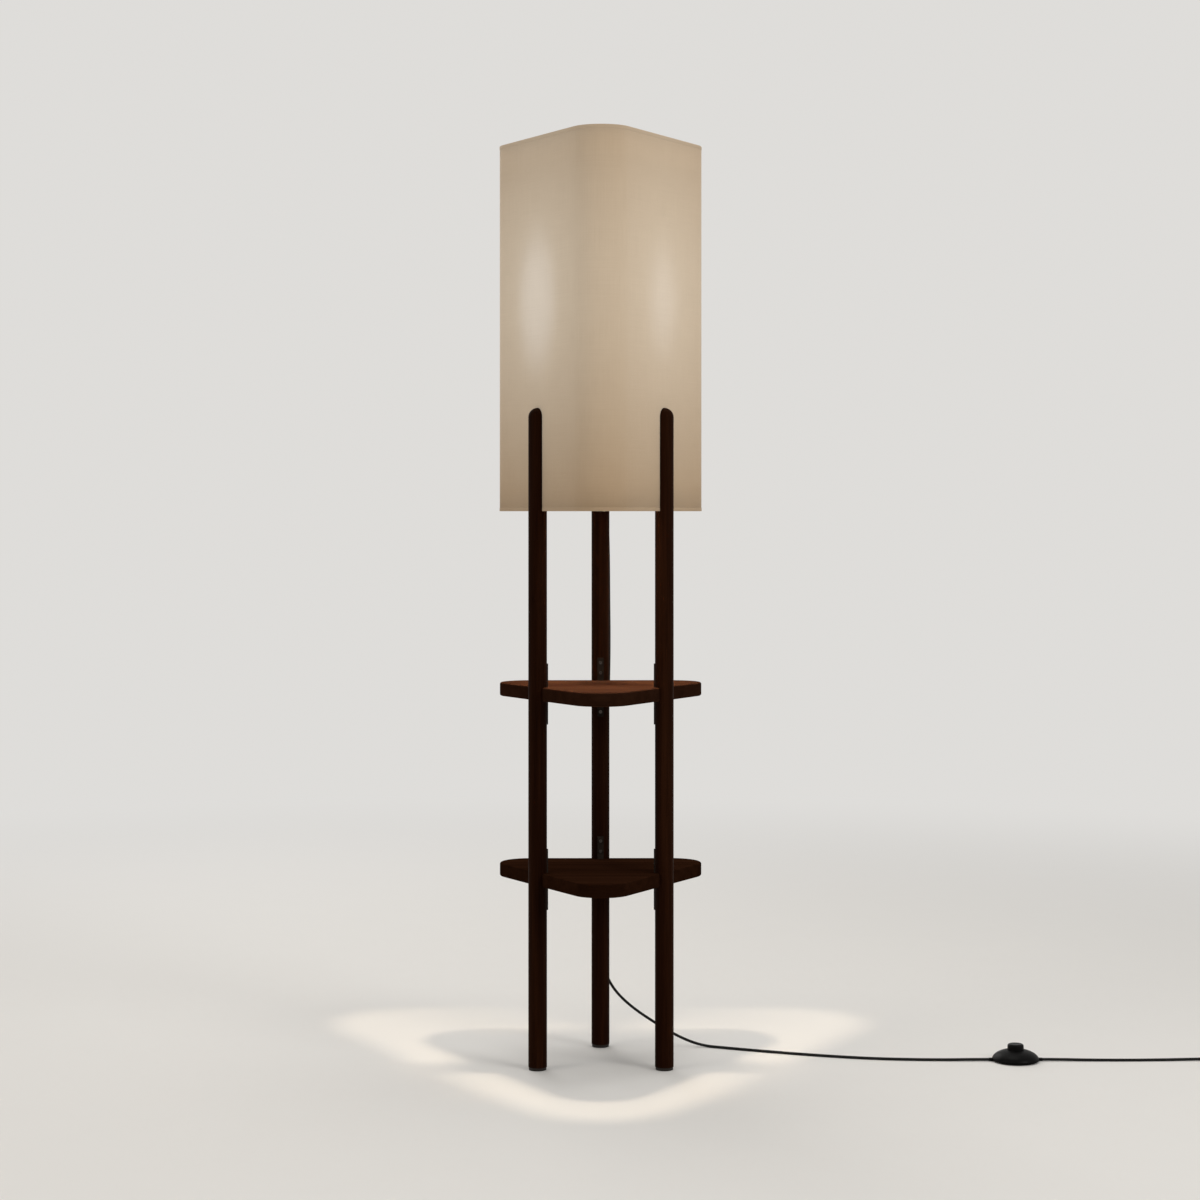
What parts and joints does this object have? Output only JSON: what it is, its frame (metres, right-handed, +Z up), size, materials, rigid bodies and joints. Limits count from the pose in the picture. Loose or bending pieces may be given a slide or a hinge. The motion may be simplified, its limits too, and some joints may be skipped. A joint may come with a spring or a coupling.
{
  "type": "floor lamp with storage",
  "caption": "Floor lamp on round wooden posts with rounded three-cornered shelves, a tall fabric shade of the same outline and a foot switch on its cord.",
  "frame": {"origin": "On the floor, under the middle of the lamp's own box, measured without the free cord and what is on it.", "axes": "+Z is up the posts. One rounded corner of the shelves and the shade points along -Y, the back post is on the +Y side, and the cord leaves along +X."},
  "size_m": [1.2713, 0.3584, 1.5],
  "materials": {
    "walnut": "dark stained walnut, open grain, satin lacquer",
    "glide_plastic": "dark brown moulded glide",
    "strap_steel": "dark bronze coated steel strap",
    "screw_steel": "bright steel screws",
    "shade_fabric": "cream fabric on stiff translucent backing",
    "frame_wire": "white coated wire and sheet",
    "stem_steel": "zinc plated threaded steel",
    "holder_plastic": "black moulded lampholder",
    "ceramic": "white glazed insert",
    "brass": "brass contact parts",
    "bulb_metal": "rolled screw base",
    "bulb_glass": "frosted glass",
    "cord_black": "black soft round cord",
    "clip_plastic": "black moulded clip",
    "switch_plastic": "black moulded case, fine texture",
    "button_plastic": "black moulded button",
    "pad_rubber": "black rubber pad",
    "works_plastic": "pale moulded mechanism block",
    "spring_steel": "spring steel",
    "plug_plastic": "black moulded plug",
    "plug_pin_metal": "nickel plated brass pins",
    "tie_plastic": "black soft tie"
  },
  "bodies": {
    "lamp": {"post_back": "walnut", "glide_back": "glide_plastic", "strap_upper_back": "strap_steel", "strap_lower_back": "strap_steel", "post_front_left": "walnut", "glide_front_left": "glide_plastic", "strap_upper_front_left": "strap_steel", "strap_lower_front_left": "strap_steel", "post_front_right": "walnut", "glide_front_right": "glide_plastic", "strap_upper_front_right": "strap_steel", "strap_lower_front_right": "strap_steel", "upper_shelf": "walnut", "lower_shelf": "walnut", "strap_screws_upper": "screw_steel", "strap_screws_lower": "screw_steel", "carrier_screws": "screw_steel", "shade_screws": "screw_steel", "shade_skin": "shade_fabric", "shade_bottom_ring": "frame_wire", "shade_top_ring": "frame_wire", "shade_carrier": "frame_wire", "stem_base": "frame_wire", "stem_base_bolt": "screw_steel", "stem_tube": "stem_steel", "stem_locknuts": "stem_steel", "lampholder_cap": "holder_plastic", "lampholder_shell": "holder_plastic", "lampholder_insert": "ceramic", "lampholder_liner": "brass", "lampholder_contact": "brass", "bulb_base": "bulb_metal", "bulb_glass": "bulb_glass", "cord_in_lamp": "cord_black", "cord_clips": "clip_plastic", "clip_nails": "screw_steel", "cord_to_switch": "cord_black", "cord_to_coil": "cord_black", "cord_coil": "cord_black", "cord_to_plug": "cord_black", "coil_ties": "tie_plastic", "switch_pad": "pad_rubber", "switch_base": "switch_plastic", "switch_cover": "switch_plastic", "switch_works": "works_plastic", "switch_spring": "spring_steel", "switch_screws": "screw_steel", "switch_bush_in": "switch_plastic", "switch_bush_out": "switch_plastic", "plug_body": "plug_plastic", "plug_pins": "plug_pin_metal", "plug_relief": "plug_plastic"},
    "foot_button": {"switch_button": "button_plastic"}
  },
  "joints": [
    {"name": "button_press", "type": "slide", "parent": "lamp", "child": "foot_button", "axis": [0, 0, -1], "range_m": [0, 0.0035], "stiffness_N_per_m": 1500, "springref_m": -0.003, "deforming": ["switch_spring"]}
  ]
}
